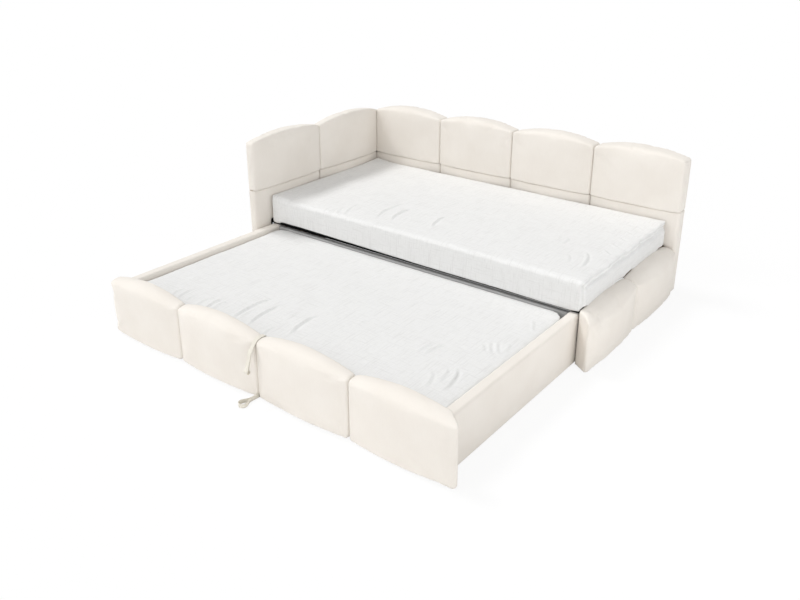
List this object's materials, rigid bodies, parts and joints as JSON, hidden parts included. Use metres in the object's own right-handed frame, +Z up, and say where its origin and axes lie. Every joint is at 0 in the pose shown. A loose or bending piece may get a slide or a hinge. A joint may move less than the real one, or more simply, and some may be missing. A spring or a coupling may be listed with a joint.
{
  "type": "upholstered bed",
  "caption": "Upholstered daybed with an L-shaped padded back, a low foot end, a mattress, and a pull-out trundle with a mattress of its own.",
  "frame": {"origin": "middle of the floor area covered with the trundle out, on the floor", "axes": "+Z up, +Y to the long back, +X to the low foot end"},
  "size_m": [2.065, 2.214, 0.766],
  "materials": {
    "velvet": "soft short-pile upholstery fabric",
    "lining": "flat upholstery fabric over a thin panel",
    "board": "raw board",
    "timber": "raw softwood",
    "mattress_cover": "woven slub cover",
    "black_steel": "black powder coat",
    "grey_steel": "grey powder coat",
    "zinc_steel": "zinc plated",
    "wheel_plastic": "moulded",
    "glide_plastic": "moulded",
    "webbing": "woven strap"
  },
  "bodies": {
    "bed_frame": {"back_upper_pad_1": "velvet", "back_upper_pad_2": "velvet", "back_upper_pad_3": "velvet", "back_upper_pad_4": "velvet", "back_lower_pad_1": "velvet", "back_lower_pad_2": "velvet", "back_lower_pad_3": "velvet", "back_lower_pad_4": "velvet", "side_upper_pad_1": "velvet", "side_upper_pad_2": "velvet", "side_lower_pad_1": "velvet", "side_lower_pad_2": "velvet", "foot_pad_1": "velvet", "foot_pad_2": "velvet", "foot_lining": "lining", "back_lower_board": "board", "back_upper_board": "board", "side_lower_board": "board", "side_upper_board": "board", "foot_board": "board", "main_slats": "timber", "board_pins": "timber", "main_mattress": "mattress_cover", "front_beam": "black_steel", "beam_end_plates": "black_steel", "front_slat_ledge": "black_steel", "back_slat_ledge": "black_steel", "corner_brackets": "zinc_steel", "corner_screws": "zinc_steel", "beam_bolts": "zinc_steel", "ledge_screws": "zinc_steel", "floor_glides": "glide_plastic"},
    "trundle": {"front_pad_1": "velvet", "front_pad_2": "velvet", "front_pad_3": "velvet", "front_pad_4": "velvet", "front_lining": "lining", "front_board": "board", "trundle_left_board": "board", "trundle_right_board": "board", "trundle_left_cover": "velvet", "trundle_right_cover": "velvet", "trundle_rear_rail": "grey_steel", "bearer_front": "timber", "bearer_middle": "timber", "bearer_rear": "timber", "bearer_brackets": "zinc_steel", "trundle_slats": "timber", "trundle_mattress": "mattress_cover", "castor_forks": "zinc_steel", "castor_axles": "zinc_steel", "front_board_screws": "zinc_steel", "trundle_screws": "zinc_steel", "castor_screws": "zinc_steel", "upper_pull_strap": "webbing", "lower_pull_strap": "webbing"},
    "castor_wheel_1": {"castor_wheel_1": "wheel_plastic"},
    "castor_wheel_2": {"castor_wheel_2": "wheel_plastic"},
    "castor_wheel_3": {"castor_wheel_3": "wheel_plastic"},
    "castor_wheel_4": {"castor_wheel_4": "wheel_plastic"}
  },
  "joints": [
    {"name": "trundle_slide", "type": "slide", "parent": "bed_frame", "child": "trundle", "axis": [0, 1, 0], "range_m": [0, 0.986]},
    {"name": "castor_wheel_1_spin", "type": "hinge", "parent": "trundle", "child": "castor_wheel_1", "pos_m": [-0.8205, -0.874, 0.025], "axis": [1, 0, 0], "continuous": true},
    {"name": "castor_wheel_2_spin", "type": "hinge", "parent": "trundle", "child": "castor_wheel_2", "pos_m": [0.7955, -0.874, 0.025], "axis": [1, 0, 0], "continuous": true},
    {"name": "castor_wheel_3_spin", "type": "hinge", "parent": "trundle", "child": "castor_wheel_3", "pos_m": [-0.8205, -0.024, 0.025], "axis": [1, 0, 0], "continuous": true},
    {"name": "castor_wheel_4_spin", "type": "hinge", "parent": "trundle", "child": "castor_wheel_4", "pos_m": [0.7955, -0.024, 0.025], "axis": [1, 0, 0], "continuous": true}
  ],
  "couplings": [
    {"joint": "castor_wheel_1_spin", "follows": "trundle_slide", "rad_per_m": -40},
    {"joint": "castor_wheel_2_spin", "follows": "trundle_slide", "rad_per_m": -40},
    {"joint": "castor_wheel_3_spin", "follows": "trundle_slide", "rad_per_m": -40},
    {"joint": "castor_wheel_4_spin", "follows": "trundle_slide", "rad_per_m": -40}
  ]
}
